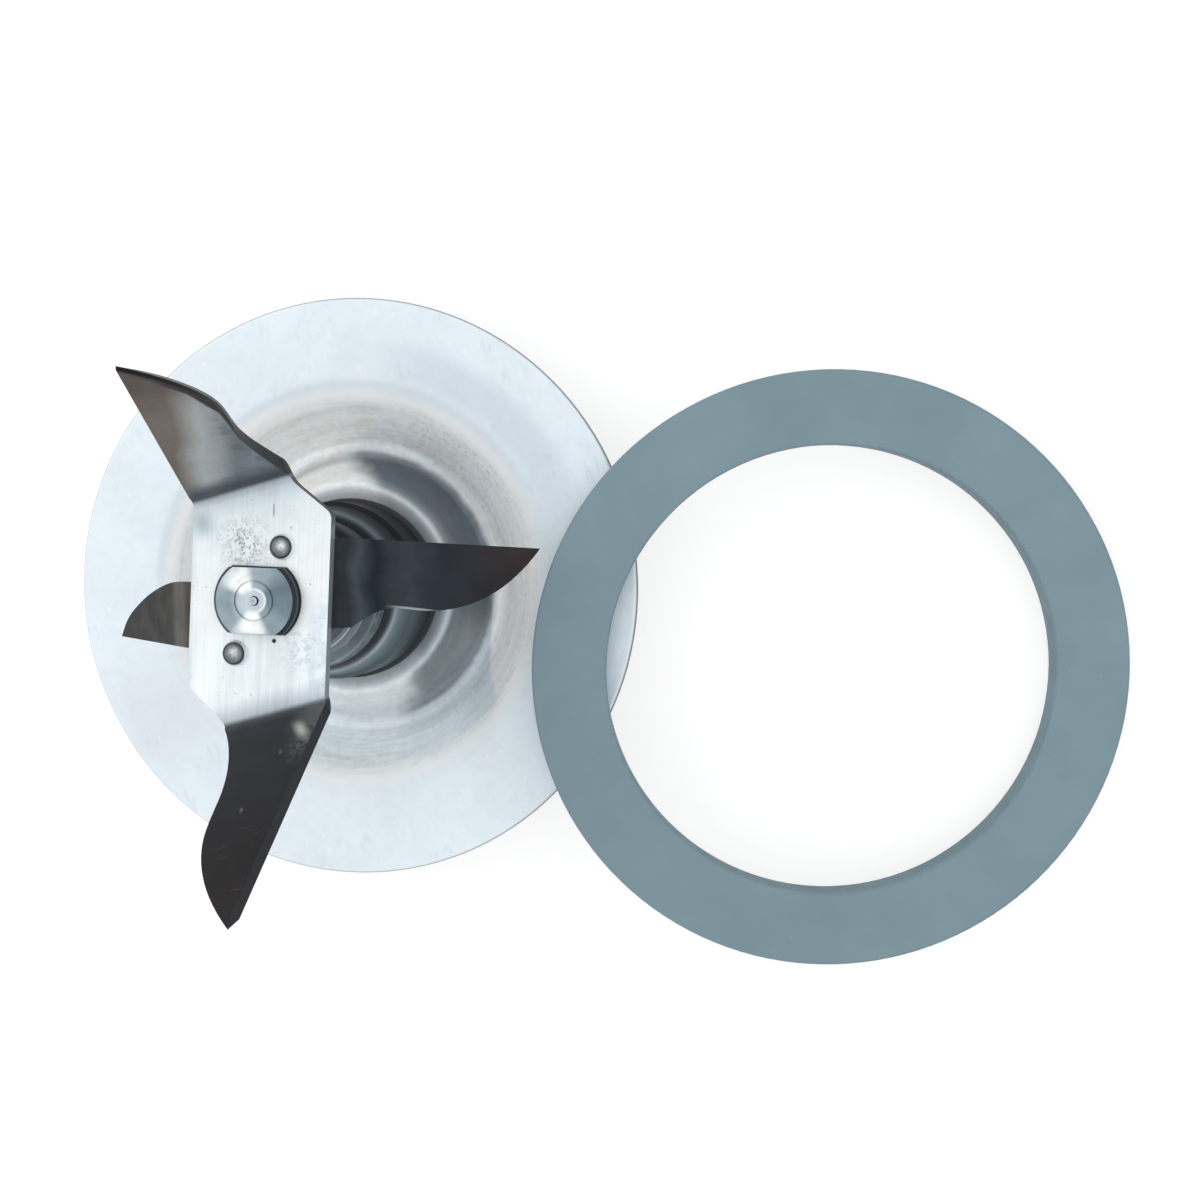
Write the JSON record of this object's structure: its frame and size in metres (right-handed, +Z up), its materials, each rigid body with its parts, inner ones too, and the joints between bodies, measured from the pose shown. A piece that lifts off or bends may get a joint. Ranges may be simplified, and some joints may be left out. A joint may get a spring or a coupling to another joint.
{
  "type": "blender blade assembly",
  "caption": "Stamped steel base flange with a bearing tower, upturned and downturned cutting blades on a spinning shaft, and its flat rubber sealing ring.",
  "frame": {"origin": "centre of the drive socket's mouth, on the surface that the assembly stands on", "axes": "+Z up the shaft towards the blades, +X along the folds of the upper blade and roughly towards the sealing ring, +Y towards the steeper upper wing"},
  "size_m": [0.1088, 0.0833, 0.0598],
  "materials": {
    "flange_steel": "satin pressed sheet",
    "turned_steel": "turned",
    "fastener_steel": "plain",
    "shaft_steel": "turned",
    "blade_steel": "ground sheet",
    "rivet_steel": "plain",
    "socket_steel": "sintered",
    "bush_bronze": "sintered",
    "seal_rubber": "matte",
    "ring_rubber": "matte",
    "washer_plastic": "matte"
  },
  "bodies": {
    "base": {"base_flange": "flange_steel", "bearing_housing": "turned_steel", "housing_gasket": "seal_rubber", "lock_washer": "fastener_steel", "lock_nut": "fastener_steel", "lower_bush": "bush_bronze", "upper_bush": "bush_bronze", "shaft_seal": "seal_rubber", "seal_cap": "turned_steel", "sealing_ring": "ring_rubber"},
    "rotor": {"shaft": "shaft_steel", "lower_thrust_washer": "washer_plastic", "upper_thrust_washer": "washer_plastic", "steel_washer": "fastener_steel", "spacer_collar": "turned_steel", "lower_blade": "blade_steel", "upper_blade": "blade_steel", "blade_rivet_a": "rivet_steel", "blade_rivet_b": "rivet_steel", "drive_socket": "socket_steel"}
  },
  "joints": [
    {"name": "blade_spin", "type": "hinge", "parent": "base", "child": "rotor", "pos_m": [0, 0, 0.02], "axis": [0, 0, 1], "continuous": true}
  ]
}
